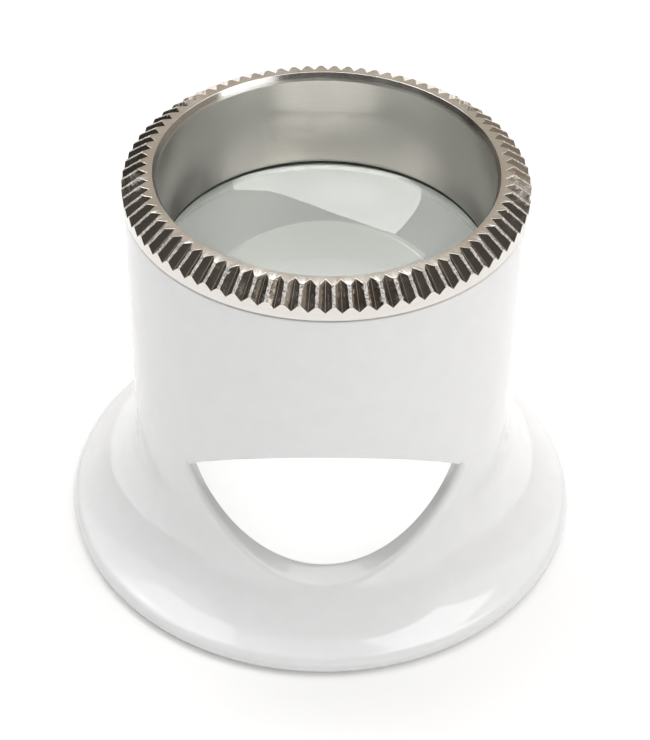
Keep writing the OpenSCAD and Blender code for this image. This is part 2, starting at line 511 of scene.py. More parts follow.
# %% [markdown]
# ## The knurled ring
# The real ring is turned from steel bar: bore, bevel, rim and sleeve on a lathe, and then 80 vee grooves
# are cut across the bevel. Seen from the front each groove is a dark hexagon between two bright lands.
# One tooth is laid out exactly, from the middle of one groove to the middle of the next, as the whole
# section of the ring. Then a node tree repeats it round the axis. A groove rests at the rest angle, so
# the first tooth stands half a pitch further round.

# %% One tooth of the ring
TEETH = 80
REST_ANGLE = -1.05
GROOVE_ANGLE = 100
# A groove's root starts this far below the bevel, on the rim, and ends this far inside it, on top
GROOVE_DROP, GROOVE_REACH = 0.48, 0.52
BORE_R, BEVEL_TOP_R, BEVEL_Z, HEAD_Z = 11.5, 12.65, 29.40, 28.23
RING_ROOT_R = 12.45
VEE = math.tan(math.radians(GROOVE_ANGLE / 2))
ROOT_LOW = (RIM_R, BEVEL_Z - GROOVE_DROP)
ROOT_HIGH = (BEVEL_TOP_R - GROOVE_REACH, RING_TOP)
# The direction in the ring's section that is square to the root, up and outwards
ACROSS = np.array([ROOT_HIGH[1] - ROOT_LOW[1], ROOT_LOW[0] - ROOT_HIGH[0]])
ACROSS /= np.linalg.norm(ACROSS)
HALF_PITCH = math.radians(180 / TEETH)


def on_rim(turn):
    """Height on the rim where the groove's side passes, that far round from the groove's middle."""
    side = RIM_R * math.sin(turn) / VEE
    return ROOT_LOW[1] + (side - (RIM_R * math.cos(turn) - ROOT_LOW[0]) * ACROSS[0]) / ACROSS[1]


def on_top(turn):
    """Radius on the top face where the groove's side passes."""
    drop = ROOT_LOW[0] * ACROSS[0] - (RING_TOP - ROOT_LOW[1]) * ACROSS[1]
    return drop / (math.cos(turn) * ACROSS[0] - math.sin(turn) / VEE)


def turn_where(wanted, curve, rising):
    """The turn at which a curve reaches a value."""
    low, high = 0.0, HALF_PITCH
    for _ in range(50):
        mid = (low + high) / 2
        low, high = (mid, high) if (curve(mid) < wanted) == rising else (low, mid)
    return low


low_turn = turn_where(BEVEL_Z, on_rim, True)
high_turn = turn_where(BEVEL_TOP_R, on_top, True)
print("a land is", round(2 * (HALF_PITCH - low_turn) * RIM_R, 3), "mm wide at the rim and",
      round(2 * (HALF_PITCH - high_turn) * BEVEL_TOP_R, 3), "mm at the top")

# %% [markdown]
# A row of the tooth has seven points: the middle of the groove, its side, the edge of the land, the
# middle of the land, and the same back again. The rows go round the whole section: up the bore, over the
# chamfer and the top face, down the cut in small steps, and then by the rim and the sleeve back to the
# bore. Faces are marked as cut or as land, so that the node tree can give them finishes of their own.

# %% The section that repeats
CUT_ROWS = 14
BORE_CHAMFER_W, BORE_CHAMFER_H = 0.3, 0.54
# Radii of the head's and the sleeve's lower edges, and of the lip at the foot of the bore
HEAD_EDGE, SLEEVE_EDGE, BORE_LIP = 0.1, 0.12, 0.08
# A row more on the top face and on the rim keeps the shading flat between the rounded edges
FACE_ROW, RIM_ROW = 0.46, 0.34


def around(turns, heights_and_radii):
    """One row of a tooth, from the groove on its left over the land to the groove on its right."""
    row = []
    for sign, order in ((-1, (0, 1, 2)), (0, (2,)), (1, (2, 1, 0))):
        for i in order:
            r, z = heights_and_radii[i]
            row.append(np.array(turned(r, sign * (HALF_PITCH - turns[i]), z)))
    return row


rim_turns = (0.0, low_turn / 2, low_turn)
top_turns = (0.0, high_turn / 2, high_turn)


def plain(r, z, turns):
    return around(turns, [(r, z)] * 3)


rim_edge = around(rim_turns, [(RIM_R, on_rim(t)) for t in rim_turns])
top_edge = around(top_turns, [(on_top(t), RING_TOP) for t in top_turns])
bore_heights = (SLEEVE_Z + BORE_LIP, 24.4, 26.2, 28.0, RING_TOP - BORE_CHAMFER_H)
rows = [plain(BORE_R, z, top_turns) for z in bore_heights]
rows += [plain(BORE_R + out, RING_TOP, top_turns) for out in (BORE_CHAMFER_W, FACE_ROW)]
first_cut = len(rows)
rows += [[a + (b - a) * k / CUT_ROWS for a, b in zip(top_edge, rim_edge)] for k in range(CUT_ROWS + 1)]
rows += [plain(r, z, rim_turns) for r, z in (
    (RIM_R, HEAD_Z + RIM_ROW), (RIM_R, HEAD_Z + HEAD_EDGE), (RIM_R - HEAD_EDGE, HEAD_Z),
    (RING_ROOT_R + HEAD_EDGE, HEAD_Z), (RING_ROOT_R, HEAD_Z - HEAD_EDGE), (RING_ROOT_R, 26.0),
    (RING_ROOT_R, SLEEVE_Z + SLEEVE_EDGE), (RING_ROOT_R - SLEEVE_EDGE, SLEEVE_Z),
    (BORE_R + BORE_LIP, SLEEVE_Z))]
print(len(rows), "rows go round the section of the ring")

# %% Faces of the tooth
# The land's points in a row, of which two pairs span a face
LAND = (2, 3, 4)
across = len(rows[0])
tooth_faces, cut_face, land_face = [], [], []
for r in range(len(rows)):
    n = (r + 1) % len(rows)
    knurled = first_cut <= r < first_cut + CUT_ROWS
    for c in range(across - 1):
        tooth_faces.append((r * across + c, r * across + c + 1, n * across + c + 1, n * across + c))
        on_the_land = c in LAND[:-1]
        cut_face.append(knurled and not on_the_land)
        land_face.append(knurled and on_the_land)
tooth = new_piece("Tooth", [p for row in rows for p in row], tooth_faces, outwards=False)
knurled_rows = range(first_cut, first_cut + CUT_ROWS + 1)
burr_points = [float(r in knurled_rows and c in LAND) for r in range(len(rows)) for c in range(across)]
for name, kind, domain, values in (
    ("cut", "BOOLEAN", "FACE", cut_face),
    ("land", "BOOLEAN", "FACE", land_face),
    ("burr", "FLOAT", "POINT", burr_points),
):
    tooth.data.attributes.new(name, kind, domain).data.foreach_set("value", values)
print("one tooth:", len(tooth_faces), "faces, of which", sum(cut_face), "are cut by the knurl")

# %% [markdown]
# The tree places one tooth on each of 80 points, turns them round the axis and welds the copies into one
# skin. Cutting leaves a ragged burr on the lands, so the points along them move by a few hundredths of
# a millimetre, with a fixed seed. A small bevel then gives every edge the width that catches light.

# %% A node tree that repeats the tooth
SEED = 7
tree = knurl_tree = bpy.data.node_groups.new("Knurled ring", "GeometryNodeTree")
group_input(tree, "Geometry", "NodeSocketGeometry")
group_input(tree, "Teeth", "NodeSocketInt", TEETH)
for socket_name in ("Rest angle", "Burr height"):
    group_input(tree, socket_name, "NodeSocketFloat")
group_input(tree, "Seed", "NodeSocketInt", SEED)
for socket_name in ("Turned finish", "Cut finish", "Land finish"):
    group_input(tree, socket_name, "NodeSocketMaterial")
tree.interface.new_socket("Geometry", in_out="OUTPUT", socket_type="NodeSocketGeometry")

given = add(tree, "NodeGroupInput").outputs
spots = add(tree, "GeometryNodePoints", {"Count": given["Teeth"]})
number = add(tree, "GeometryNodeInputIndex")
step = add(tree, "ShaderNodeMath", {0: 2 * math.pi, 1: given["Teeth"]}, operation="DIVIDE")
turn = add(tree, "ShaderNodeMath", {
    0: number, 1: step, 2: given["Rest angle"]}, operation="MULTIPLY_ADD")
facing = add(tree, "ShaderNodeCombineXYZ", {"Z": turn})
copies = add(tree, "GeometryNodeInstanceOnPoints", {
    "Points": spots, "Instance": given["Geometry"], "Rotation": facing})
realized = add(tree, "GeometryNodeRealizeInstances", {"Geometry": copies})
welded = add(tree, "GeometryNodeMergeByDistance", {"Geometry": realized, "Distance": 2 * WELD * MM})
on_land = add(tree, "GeometryNodeInputNamedAttribute", {"Name": "burr"}, data_type="FLOAT")
is_land = add(tree, "FunctionNodeCompare", {0: on_land, 1: 0.5}, operation="GREATER_THAN")
downwards = add(tree, "ShaderNodeMath", {0: given["Burr height"], 1: -1.0}, operation="MULTIPLY")
most = add(tree, "ShaderNodeCombineXYZ", {
    "X": given["Burr height"], "Y": given["Burr height"], "Z": 0.0})
least = add(tree, "ShaderNodeCombineXYZ", {"X": downwards, "Y": downwards, "Z": downwards})
jog = add(tree, "FunctionNodeRandomValue", {
    0: least, 1: most, "Seed": given["Seed"]}, data_type="FLOAT_VECTOR")
ragged = add(tree, "GeometryNodeSetPosition", {"Geometry": welded, "Selection": is_land, "Offset": jog})
finished = add(tree, "GeometryNodeSetMaterial", {
    "Geometry": ragged, "Material": given["Turned finish"]})
for mark, socket_name in (("cut", "Cut finish"), ("land", "Land finish")):
    marked = add(tree, "GeometryNodeInputNamedAttribute", {"Name": mark}, data_type="BOOLEAN")
    finished = add(tree, "GeometryNodeSetMaterial", {
        "Geometry": finished, "Selection": marked, "Material": given[socket_name]})
add(tree, "NodeGroupOutput", {0: finished})
print("knurl tree:", len(tree.nodes), "nodes")

# %% [markdown]
# ## Finishes
# Each finish is named for the real material and how its surface was made. Patterns use Object
# coordinates, so their scale is a real size: one unit is one metre, and a scale of 1 / (0.05 mm) gives
# marks that are 0.05 mm apart.
#
# The eye cup is white ABS from a polished mould. Its reflections are sharp but not perfect: the skin
# sinks by microns as it cools, and handling leaves a faint haze. Both are noise, the first in the relief
# and the second in the gloss.

# %% Moulded plastic
def linear(hex_text):
    """'#rrggbb' in sRGB to linear RGBA."""
    out = []
    for i in (1, 3, 5):
        c = int(hex_text[i : i + 2], 16) / 255
        out.append(c / 12.92 if c <= 0.04045 else ((c + 0.055) / 1.055) ** 2.4)
    return (*out, 1.0)


def new_material(name):
    """An empty node material and its tree."""
    material = bpy.data.materials.new(name)
    material.use_nodes = True
    material.node_tree.nodes.clear()
    return material, material.node_tree


# Glossy white ABS from a polished tool: a sharp reflection over a very slightly uneven skin.
white_abs, tree = new_material("Moulded_white_gloss_ABS")
where = add(tree, "ShaderNodeTexCoord").outputs["Object"]
# The skin sinks by microns as it cools, over about 6 mm
sink = add(tree, "ShaderNodeTexNoise", {
    "Vector": where, "Scale": 1 / (6 * MM), "Detail": 1.0, "Roughness": 0.4})
# Fine haze from handling, in blotches of about 1.5 mm
haze = add(tree, "ShaderNodeTexNoise", {
    "Vector": where, "Scale": 1 / (1.5 * MM), "Detail": 3.0, "Roughness": 0.6})
gloss = add(tree, "ShaderNodeMapRange", {
    "Value": haze, "From Min": 0.35, "From Max": 0.7, "To Min": 0.07, "To Max": 0.11})
relief = add(tree, "ShaderNodeBump", {"Strength": 0.25, "Distance": 0.03 * MM, "Height": sink})
tone = add(tree, "ShaderNodeMapRange", {"Value": haze, "From Min": 0.3, "From Max": 0.75})
colour = add(tree, "ShaderNodeMix", {
    "Factor": tone, "A": linear("#f0f1f2"), "B": linear("#edeeef")}, data_type="RGBA")
skin = add(tree, "ShaderNodeBsdfPrincipled", {
    "Base Color": colour.outputs[2], "Roughness": gloss, "IOR": 1.53, "Normal": relief})
add(tree, "ShaderNodeOutputMaterial", {"Surface": skin})
print(white_abs.name, "has", len(tree.nodes), "nodes")

# %% [markdown]
# Turned steel shows fine rings left by the tool. On the top face they lie one inside the other, and in
# the bore they lie one above the other, so one coordinate serves both: the distance from the axis plus
# the height. Light stretches across such rings, which is the anisotropy.

# %% Turned steel
# Stainless steel turned with a fine feed: warm grey, soft along the rings and streaked across them.
turned_steel, tree = new_material("Fine_turned_stainless_steel")
where = add(tree, "ShaderNodeTexCoord").outputs["Object"]
flat = add(tree, "ShaderNodeVectorMath", {0: where, 1: (1.0, 1.0, 0.0)}, operation="MULTIPLY")
reach = add(tree, "ShaderNodeVectorMath", {0: flat}, operation="LENGTH")
parts = add(tree, "ShaderNodeSeparateXYZ", {0: where})
along = add(tree, "ShaderNodeMath", {0: reach.outputs["Value"], 1: parts.outputs["Z"]}, operation="ADD")
# The real feed is near 0.03 mm, which is too fine for the picture, so it is drawn at 0.12 mm
marks = add(tree, "ShaderNodeTexNoise", {
    "W": along, "Scale": 1 / (0.12 * MM), "Detail": 3.0, "Roughness": 0.7}, noise_dimensions="1D")
# Wiping leaves blotches of about 3 mm that are a little duller
wipe = add(tree, "ShaderNodeTexNoise", {
    "Vector": where, "Scale": 1 / (3 * MM), "Detail": 4.0, "Roughness": 0.6})
faced = add(tree, "ShaderNodeMapRange", {
    "Value": wipe, "From Min": 0.35, "From Max": 0.7, "To Min": 0.17, "To Max": 0.26})
# The bore is cut with a coarser tool than the faces, so it is duller by this much, up to its edge
BORE_DULLNESS = 0.12
bored = add(tree, "ShaderNodeMapRange", {
    "Value": reach.outputs["Value"], "From Min": (BORE_R + 0.05) * MM, "From Max": (BORE_R + 0.15) * MM,
    "To Min": BORE_DULLNESS, "To Max": 0.0})
rough = add(tree, "ShaderNodeMath", {0: faced, 1: bored}, operation="ADD")
relief = add(tree, "ShaderNodeBump", {"Strength": 0.35, "Distance": 0.004 * MM, "Height": marks})
colour = add(tree, "ShaderNodeMix", {
    "Factor": marks, "A": linear("#d0cdc7"), "B": linear("#e0ddd8")}, data_type="RGBA")
lathe = add(tree, "ShaderNodeTangent", axis="Z", direction_type="RADIAL")
# A quarter turn lays the stretch across the tool's marks
skin = add(tree, "ShaderNodeBsdfPrincipled", {
    "Base Color": colour.outputs[2], "Metallic": 1.0, "Roughness": rough, "Anisotropic": 0.6,
    "Anisotropic Rotation": 0.25, "Normal": relief, "Tangent": lathe})
add(tree, "ShaderNodeOutputMaterial", {"Surface": skin})
print(turned_steel.name, "has", len(tree.nodes), "nodes")

# %% [markdown]
# The knurl's cuts aren't turned. They are bright facets with chatter streaks that run up the groove, and
# they mirror the room nearly sharply, some patches more than others. Between two cuts stays a land, where
# the metal is torn rather than cut.

# %% Steel cut by the knurl
# The same steel with mirror-like facets, streaked by the tool.
cut_steel, tree = new_material("Knurl_cut_stainless_steel")
where = add(tree, "ShaderNodeTexCoord").outputs["Object"]
# The real streaks are finer than a pixel, so they are drawn 0.1 mm wide, and five times as long
squash = add(tree, "ShaderNodeMapping", {"Vector": where, "Scale": (1.0, 1.0, 0.2)})
streaks = add(tree, "ShaderNodeTexNoise", {
    "Vector": squash, "Scale": 1 / (0.10 * MM), "Detail": 4.0, "Roughness": 0.65})
patches = add(tree, "ShaderNodeTexNoise", {"Vector": where, "Scale": 1 / (0.9 * MM), "Detail": 2.0})
rough = add(tree, "ShaderNodeMapRange", {
    "Value": patches, "From Min": 0.35, "From Max": 0.7, "To Min": 0.09, "To Max": 0.2})
relief = add(tree, "ShaderNodeBump", {"Strength": 0.6, "Distance": 0.006 * MM, "Height": streaks})
colour = add(tree, "ShaderNodeMix", {
    "Factor": streaks, "A": linear("#bfb6ac"), "B": linear("#dcd5cc")}, data_type="RGBA")
skin = add(tree, "ShaderNodeBsdfPrincipled", {
    "Base Color": colour.outputs[2], "Metallic": 1.0, "Roughness": rough, "Normal": relief})
add(tree, "ShaderNodeOutputMaterial", {"Surface": skin})
print(cut_steel.name, "has", len(tree.nodes), "nodes")

# %% Steel torn along the lands
# The same steel torn into a row of tiny grains, about 0.1 mm across, with a rough relief. Their dark
# middles are painted shade of the torn pits.
torn_steel_with_painted_shade, tree = new_material("Torn_burr_steel_with_painted_shade")
where = add(tree, "ShaderNodeTexCoord").outputs["Object"]
grains = add(tree, "ShaderNodeTexVoronoi", {"Vector": where, "Scale": 1 / (0.11 * MM)})
scuffs = add(tree, "ShaderNodeTexNoise", {
    "Vector": where, "Scale": 1 / (0.07 * MM), "Detail": 3.0, "Roughness": 0.7})
height = add(tree, "ShaderNodeMath", {0: grains.outputs["Distance"], 1: scuffs}, operation="ADD")
relief = add(tree, "ShaderNodeBump", {"Strength": 1.0, "Distance": 0.06 * MM, "Height": height})
# From steel grey between the grains down to near black at their middles: the dark end is painted shade,
# not a colour of the steel
grey = add(tree, "ShaderNodeMapRange", {
    "Value": grains.outputs["Distance"], "From Min": 0.15, "From Max": 0.6})
rough = add(tree, "ShaderNodeMapRange", {
    "Value": scuffs, "From Min": 0.3, "From Max": 0.7, "To Min": 0.2, "To Max": 0.45})
colour = add(tree, "ShaderNodeMix", {
    "Factor": grey, "A": linear("#48433d"), "B": linear("#d8d4ce")}, data_type="RGBA")
skin = add(tree, "ShaderNodeBsdfPrincipled", {
    "Base Color": colour.outputs[2], "Metallic": 1.0, "Roughness": rough, "Normal": relief})
add(tree, "ShaderNodeOutputMaterial", {"Surface": skin})
print(torn_steel_with_painted_shade.name, "has", len(tree.nodes), "nodes")

# %% [markdown]
# Instances and modifiers don't survive an export, so each node tree is run once and its result is kept
# as a plain mesh. A modifier's input is set by its socket's identifier, which the tree's interface gives
# for each name. The ring also gets a narrow bevel, because only an edge with some width shows a highlight.

# %% Bake the ring
BURR, EDGE_BEVEL = 0.02, 0.016


def baked(name, carrier, tree, values, *more):
    """Runs the tree on carrier, then the modifiers in more, and returns the result as a plain object."""
    modifier = carrier.modifiers.new(tree.name, "NODES")
    modifier.node_group = tree
    sockets = {s.name: s.identifier for s in tree.interface.items_tree if s.in_out == "INPUT"}
    for key, value in values.items():
        modifier[sockets[key]] = value
    for kind, settings in more:
        extra = carrier.modifiers.new(kind, kind)
        for key, value in settings.items():
            setattr(extra, key, value)
    graph = bpy.context.evaluated_depsgraph_get()
    mesh = bpy.data.meshes.new_from_object(carrier.evaluated_get(graph), depsgraph=graph)
    carrier.modifiers.clear()
    mesh.name = name
    bpy.data.objects.remove(carrier)
    return new_object(name, mesh)


tooth.data.materials.append(turned_steel)
ring = baked("Knurled_ring", tooth, knurl_tree, {
    "Teeth": TEETH, "Rest angle": math.radians(REST_ANGLE) + HALF_PITCH, "Burr height": BURR * MM,
    "Seed": SEED, "Turned finish": turned_steel, "Cut finish": cut_steel, "Land finish": torn_steel_with_painted_shade},
    ("BEVEL", {"width": EDGE_BEVEL * MM, "segments": 2, "limit_method": "ANGLE",
               "angle_limit": math.radians(35)}))
sharpen(ring, 12)
print("ring:", len(ring.data.polygons), "faces", [m.name for m in ring.data.materials])

# %% [markdown]
# The two threads come from the other tree. The ring's ridge is steel and points outwards, and the eye
# cup's is plastic and points inwards. Each sinks a little into its wall, so that no gap shows.

# %% Bake the two threads
RIDGE_DEPTH, SINK = 0.30, 0.02


def thread(name, root, depth, facing, finish):
    """A ridge that faces outwards, 1, or inwards, -1."""
    carrier = new_piece(name + "_carrier", [(0, 0, 0)], [])
    carrier.data.materials.append(finish)
    piece = baked(name, carrier, thread_tree, {
        "Root radius": root * MM, "Depth": depth * MM, "Facing": float(facing), "Pitch": PITCH * MM,
        "Turns": float(TURNS), "Start height": THREAD_Z * MM, "Finish": finish})
    weld(piece.data)
    radii = [v.co.xy.length / MM for v in piece.data.vertices]
    heights = [v.co.z / MM for v in piece.data.vertices]
    print(name, "radii", [round(f(radii), 2) for f in (min, max)], "heights",
          [round(f(heights), 2) for f in (min, max)])
    return piece


ring_thread = thread("Ring_thread", RING_ROOT_R - SINK, RIDGE_DEPTH, 1, turned_steel)
cup_thread = thread("Eye_cup_thread", ROOT_R + SINK, RIDGE_DEPTH, -1, white_abs)
cup.data.materials.append(white_abs)

# %% [markdown]
# ## The lens
# It is a plain 25 mm lens, convex on both faces, in crown glass. Both faces are true spheres, so the mesh
# is turned finely enough that refraction stays clean. The rim is ground, not polished, and has a small
# chamfer all round, as an optician leaves it.

# %% Shape of the lens
LENS_CHAMFER = 0.1
CHAMFER_H = 1.6 * LENS_CHAMFER
CAP_STEPS, LENS_COLUMNS = 36, 192


def cap(centre_z, sign, rim):
    """Points of a spherical face from the middle outwards."""
    end = math.asin(rim / LENS_FACE_R)
    turns = [end * i / CAP_STEPS for i in range(CAP_STEPS + 1)]
    return [(LENS_FACE_R * math.sin(t), centre_z + sign * LENS_FACE_R * math.cos(t)) for t in turns]


upper = cap(LENS_TOP - LENS_FACE_R, 1, LENS_R - LENS_CHAMFER)
lower = cap(LENS_BOTTOM + LENS_FACE_R, -1, LENS_R - LENS_CHAMFER)
rim_path = [(LENS_R, upper[-1][1] - CHAMFER_H), (LENS_R, lower[-1][1] + CHAMFER_H)]
lens_path = upper + rim_path + lower[::-1]
round_the_lens = [2 * math.pi * c / LENS_COLUMNS for c in range(LENS_COLUMNS)]
lens_points, lens_faces = [], []
skin = [[turned(r, a, z) for a in round_the_lens] for r, z in lens_path]
lay_rows(lens_points, lens_faces, skin, True)
lens = new_piece("Lens", lens_points, lens_faces)
sharpen(lens, 30)
print("lens:", len(lens.data.polygons), "faces,", round(LENS_TOP - LENS_BOTTOM, 2),
      "mm thick in the middle")

# %% Polished and ground glass
# Polished crown glass with the faint green of thick glass. The tint is darker than real glass: in part it
# is painted shade of the dim inside of the eye cup seen through it.
crown_glass, tree = new_material("Polished_crown_glass")
skin = add(tree, "ShaderNodeBsdfPrincipled", {
    "Base Color": linear("#ebede8"), "Roughness": 0.0, "IOR": 1.517, "Transmission Weight": 1.0})
add(tree, "ShaderNodeOutputMaterial", {"Surface": skin})
# The same glass ground with fine grit: it scatters light and looks frosted.
ground_glass, tree = new_material("Ground_glass_edge")
where = add(tree, "ShaderNodeTexCoord").outputs["Object"]
# Grit of about 0.05 mm, drawn at 0.15 mm
grit = add(tree, "ShaderNodeTexNoise", {"Vector": where, "Scale": 1 / (0.15 * MM), "Detail": 3.0})
relief = add(tree, "ShaderNodeBump", {"Strength": 0.5, "Distance": 0.02 * MM, "Height": grit})
skin = add(tree, "ShaderNodeBsdfPrincipled", {
    "Base Color": linear("#dde4df"), "Roughness": 0.55, "IOR": 1.517, "Transmission Weight": 0.6,
    "Normal": relief})
add(tree, "ShaderNodeOutputMaterial", {"Surface": skin})
lens.data.materials.append(crown_glass)
lens.data.materials.append(ground_glass)
for face in lens.data.polygons:
    face.material_index = int(Vector(face.center).xy.length > (LENS_R - LENS_CHAMFER * 0.9) * MM)
print(sum(face.material_index for face in lens.data.polygons), "faces of the lens are ground")

# %% [markdown]
# ## The washer
# A thin rubber washer keeps the steel off the glass. Its CAD shape is already right, so it only gets a
# finish: soft, dark and slightly dusty, as cut rubber sheet is.

# %% Rubber for the washer
cut_rubber, tree = new_material("Cut_rubber_sheet")
where = add(tree, "ShaderNodeTexCoord").outputs["Object"]
grain = add(tree, "ShaderNodeTexNoise", {"Vector": where, "Scale": 1 / (0.2 * MM), "Detail": 4.0})
relief = add(tree, "ShaderNodeBump", {"Strength": 0.4, "Distance": 0.01 * MM, "Height": grain})
colour = add(tree, "ShaderNodeMix", {
    "Factor": grain, "A": linear("#26271f"), "B": linear("#3d3e33")}, data_type="RGBA")
skin = add(tree, "ShaderNodeBsdfPrincipled", {
    "Base Color": colour.outputs[2], "Roughness": 0.6, "Normal": relief})
add(tree, "ShaderNodeOutputMaterial", {"Surface": skin})
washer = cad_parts["washer"]
washer.data.materials.clear()
washer.data.materials.append(cut_rubber)
print(washer.name, "is finished in", washer.data.materials[0].name)

# %% [markdown]
# ## Which body each piece rides on
# The eye cup and the lens stay still. The ring and its thread ride on the ring's body, which turns and
# climbs as it unscrews. Each new piece hides the CAD node that it replaces.

# %% Ride on a body, and hide the CAD node that each piece replaces
for piece, body, slot, node in (
    (cup, "housing", "housing_plastic", "housing"),
    (cup_thread, "housing", "housing_plastic", "housing"),
    (lens, "housing", "lens_glass", "lens"),
    (ring, "ring", "ring_steel", "retaining_ring"),
    (ring_thread, "ring", "ring_steel", "retaining_ring"),
):
    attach(piece, body)
    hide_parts(node)
    print(piece.name, "rides on", body)

# %% [markdown]
# ## Studio
# The loupe stands on a matt white table. To a ray that comes from the camera, or by way of the glass or
# the steel, the table glows a little, so that it reads white and still keeps the shadow. The glow has
# three zones. It is strong inside the eye cup, whose walls keep the lamps away, so that the window reads
# white. It is weak round the loupe, where the shadow lies, and it grows again far out, where the lamps
# give less.

# %% White table
CUP_GLOW, NEAR_GLOW, FAR_GLOW = 0.54, 0.10, 0.60
# Distances from the middle between which the glow falls, and between which it grows again
CUP_END, NEAR_START = 12, 17
NEAR_END, FAR_START = 60, 350
TABLE_HALF = 2500


def seen(tree):
    """1 for a ray from the camera, straight or by way of gloss or glass, and 0 for any other."""
    rays = add(tree, "ShaderNodeLightPath").outputs
    straight = add(tree, "ShaderNodeMath", {
        0: rays["Is Camera Ray"], 1: rays["Is Glossy Ray"]}, operation="MAXIMUM")
    return add(tree, "ShaderNodeMath", {
        0: straight, 1: rays["Is Transmission Ray"]}, operation="MAXIMUM")


# A matt white table top. Only the rays that seen() picks find the glow, so it lights no matt surface
table, tree = new_material("White_table")
where = add(tree, "ShaderNodeTexCoord").outputs["Object"]
reach = add(tree, "ShaderNodeVectorMath", {0: where}, operation="LENGTH")
under = add(tree, "ShaderNodeMapRange", {
    "Value": reach.outputs["Value"], "From Min": CUP_END * MM, "From Max": NEAR_START * MM,
    "To Min": CUP_GLOW, "To Max": NEAR_GLOW}, interpolation_type="SMOOTHSTEP")
around_it = add(tree, "ShaderNodeMapRange", {
    "Value": reach.outputs["Value"], "From Min": NEAR_END * MM, "From Max": FAR_START * MM,
    "To Min": NEAR_GLOW, "To Max": FAR_GLOW}, interpolation_type="SMOOTHSTEP")
level = add(tree, "ShaderNodeMath", {0: under, 1: around_it}, operation="MAXIMUM")
lifted = add(tree, "ShaderNodeMath", {0: seen(tree), 1: level}, operation="MULTIPLY")
matt = add(tree, "ShaderNodeBsdfDiffuse", {"Color": linear("#f2f2f2")})
glow = add(tree, "ShaderNodeEmission", {"Color": linear("#ffffff"), "Strength": lifted})
both = add(tree, "ShaderNodeAddShader", {0: matt, 1: glow})
add(tree, "ShaderNodeOutputMaterial", {"Surface": both})
corners = [(x * TABLE_HALF, y * TABLE_HALF, 0) for x, y in ((-1, -1), (1, -1), (1, 1), (-1, 1))]
floor = new_piece("Table", corners, [(0, 1, 2, 3)], outwards=False)
floor.data.materials.append(table)
print("the table is", 2 * TABLE_HALF * MM, "m square")

# %% [markdown]
# Behind the table is a white world. The rays that see the table glow find it fully white, and to matt
# surfaces it gives somewhat less, as a room does.

# %% White world
ROOM_LEVEL = 0.8
world = bpy.data.worlds.new("White_room")
world.use_nodes = True
bpy.context.scene.world = world
tree = world.node_tree
tree.nodes.clear()
strength = add(tree, "ShaderNodeMapRange", {"Value": seen(tree), "To Min": ROOM_LEVEL, "To Max": 1.0})
air = add(tree, "ShaderNodeBackground", {"Color": linear("#ffffff"), "Strength": strength})
add(tree, "ShaderNodeOutputWorld", {"Surface": air})
print("the world gives matt surfaces", ROOM_LEVEL, "of white")

# %% [markdown]
# Steel and gloss plastic show what stands round them, so a photographer gives them large soft lights. A
# direction is written as two angles: round the table, 0 in front and 90 to the right, and up from it.
# Three lamps stand high at the back, the right and the left, and a weak reflector low in front. A fill
# opens the shade at the front right. Gloss doesn't see it, because the flange would show it as a second
# bright patch. A low lamp brightens the bore's chamfer, and light linking keeps it off the plastic, as a
# photographer's flag would. Rays through the glass see no lamp: the glass gets two sheets of its own.

# %% Lamps
# The lamps and sheets face this point, in metres, well inside the loupe
MIDDLE = Vector((0, 0, 0.02))
# Azimuth, elevation, width and height in degrees, distance in metres, and how bright the lamp looks,
# where 1 is a white surface in full light
LAMPS = {
    "Back_light": (180, 64, 60, 20, 0.6, 3.3),
    "Right_light": (84, 64, 24, 28, 0.65, 3.0),
    "Left_light": (-118, 62, 44, 27, 0.65, 1.9),
    "Right_fill": (35, 50, 36, 20, 0.65, 1.7),
    "Steel_light": (52, 19, 36, 12, 0.65, 2.8),
    "Front_reflector": (8, 6, 40, 10, 0.65, 1.2),
}


def towards(azimuth, elevation):
    a, e = math.radians(azimuth), math.radians(elevation)
    return Vector((math.sin(a) * math.cos(e), -math.cos(a) * math.cos(e), math.sin(e)))


def soft_light(name, azimuth, elevation, width, height, distance, level):
    """A rectangle of light that faces the loupe and looks as bright as a white surface times level."""
    data = bpy.data.lights.new(name, "AREA")
    data.shape = "RECTANGLE"
    data.size = 2 * distance * math.tan(math.radians(width / 2))
    data.size_y = 2 * distance * math.tan(math.radians(height / 2))
    data.energy = level * math.pi * data.size * data.size_y
    lamp = new_object(name, data)
    lamp.location = MIDDLE + distance * towards(azimuth, elevation)
    lamp.rotation_euler = towards(azimuth, elevation).to_track_quat("Z", "Y").to_euler()
    lamp.visible_transmission = False
    return lamp


lamps = {name: soft_light(name, *setting) for name, setting in LAMPS.items()}
lamps["Right_fill"].visible_glossy = False
steel_only = bpy.data.collections.new("Steel")
for piece in (ring, ring_thread):
    steel_only.objects.link(piece)
lamps["Steel_light"].light_linking.receiver_collection = steel_only
print(len(lamps), "lamps:", ", ".join(lamps))

# %% [markdown]
# Between the lamps the photographer puts dark cloth and beige card, so that the facets have something
# darker to mirror. Each is a bent sheet that glows faintly, out of the camera's sight. In gloss it looks
# as dark as its level says. On matt surfaces it shines with a share of that level, which for the front
# cloth is more than one, so that the facets go dark and the plastic doesn't.

# %% Cloth and card round the table
# Distance in metres, and the number of flat strips in the bend
CLOTH_DISTANCE, CLOTH_STEPS = 0.8, 16
# How far a hot spot reaches, as the distance between two directions of length 1
HOT_REACH = 0.28


